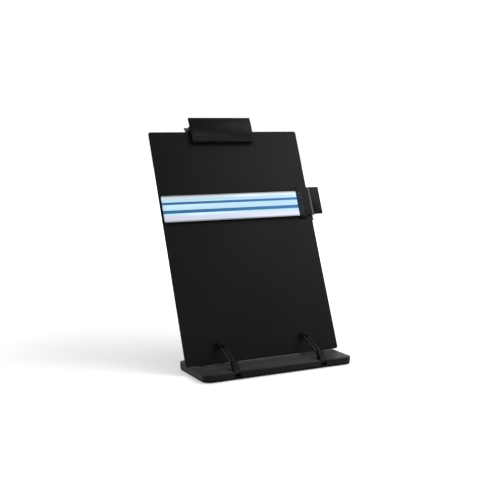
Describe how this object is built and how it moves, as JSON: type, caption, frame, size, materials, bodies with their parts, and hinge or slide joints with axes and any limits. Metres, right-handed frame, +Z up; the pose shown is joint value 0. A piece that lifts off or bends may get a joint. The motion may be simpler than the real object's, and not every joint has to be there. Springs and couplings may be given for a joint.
{
  "type": "copy holder",
  "caption": "Desk copy holder: a leaning back panel on a flat base, propped by a wire, with a page clip, a sliding clear line guide and two sprung page arms.",
  "frame": {"origin": "middle of the object's footprint, on the desk", "axes": "+Z up, +X to the user's right, +Y away from the user"},
  "size_m": [0.2276, 0.1766, 0.3063],
  "materials": {
    "black_abs": "semi-gloss moulded, fine texture",
    "dark_abs": "matt moulded",
    "rubber": "matt",
    "bright_steel": "zinc plated",
    "black_enamel": "fine-texture stove enamel on sheet steel",
    "dark_wire": "dark plated wire",
    "clear_acrylic": "clear, pale blue tint",
    "blue_ink": "printed line"
  },
  "bodies": {
    "base": {"base_cover": "black_abs", "base_plate": "dark_abs", "base_feet": "rubber", "base_screws": "bright_steel", "angle_rack": "dark_abs", "hinge_pins": "bright_steel", "arm_pins": "dark_wire", "arm_spring_left": "dark_wire", "arm_spring_right": "dark_wire"},
    "panel": {"back_panel": "black_enamel", "prop_bracket": "black_enamel"},
    "prop": {"prop_wire": "bright_steel", "prop_sleeve": "rubber"},
    "clip_rear": {"clip_rear_lever": "black_abs", "clip_rear_pad": "rubber", "clip_pin": "dark_wire", "clip_spring": "bright_steel"},
    "clip_front": {"clip_front_lever": "black_abs", "clip_front_pad": "rubber"},
    "guide_rear": {"guide_rear_jaw": "black_abs", "guide_rear_pad": "rubber", "guide_pin": "dark_wire", "guide_spring": "bright_steel"},
    "guide_front": {"guide_front_jaw": "black_abs", "guide_front_pad": "rubber", "guide_strip": "clear_acrylic", "guide_lines": "blue_ink"},
    "arm_left": {"arm_left_lever": "black_abs", "arm_left_wire": "dark_wire", "arm_left_tip": "rubber"},
    "arm_right": {"arm_right_lever": "black_abs", "arm_right_wire": "dark_wire", "arm_right_tip": "rubber"}
  },
  "joints": [
    {"name": "panel_tilt", "type": "hinge", "parent": "base", "child": "panel", "pos_m": [-0.00785, -0.0389, 0.01355], "axis": [-1, 0, 0], "range_deg": [0, 24]},
    {"name": "prop_swing", "type": "hinge", "parent": "panel", "child": "prop", "pos_m": [-0.00785, -0.00769, 0.08507], "axis": [-1, 0, 0], "range_deg": [-48, 0]},
    {"name": "clip_slide", "type": "slide", "parent": "panel", "child": "clip_rear", "axis": [1, 0, 0], "range_m": [-0.055, 0.067]},
    {"name": "clip_open", "type": "hinge", "parent": "clip_rear", "child": "clip_front", "pos_m": [-0.01385, 0.06961, 0.29133], "axis": [-1, 0, 0], "range_deg": [0, 18], "stiffness_Nm_per_rad": 0.1, "springref_deg": -34.38, "deforming": ["clip_spring"]},
    {"name": "guide_slide", "type": "slide", "parent": "panel", "child": "guide_rear", "axis": [0, 0.3746, 0.9272], "range_m": [-0.14, 0.06]},
    {"name": "guide_open", "type": "hinge", "parent": "guide_rear", "child": "guide_front", "pos_m": [0.10085, 0.03012, 0.1936], "axis": [0, 0.3746, 0.9272], "range_deg": [0, 12], "stiffness_Nm_per_rad": 0.15, "springref_deg": -34.38, "deforming": ["guide_spring"]},
    {"name": "arm_left_swing", "type": "hinge", "parent": "base", "child": "arm_left", "pos_m": [-0.06635, -0.0853, 0.0078], "axis": [1, 0, 0], "range_deg": [0, 110], "stiffness_Nm_per_rad": 0.02, "springref_deg": -28.65, "deforming": ["arm_spring_left"]},
    {"name": "arm_right_swing", "type": "hinge", "parent": "base", "child": "arm_right", "pos_m": [0.05065, -0.0853, 0.0078], "axis": [1, 0, 0], "range_deg": [0, 110], "stiffness_Nm_per_rad": 0.02, "springref_deg": -28.65, "deforming": ["arm_spring_right"]}
  ],
  "couplings": [
    {"joint": "prop_swing", "follows": "panel_tilt", "ratio": -2}
  ]
}
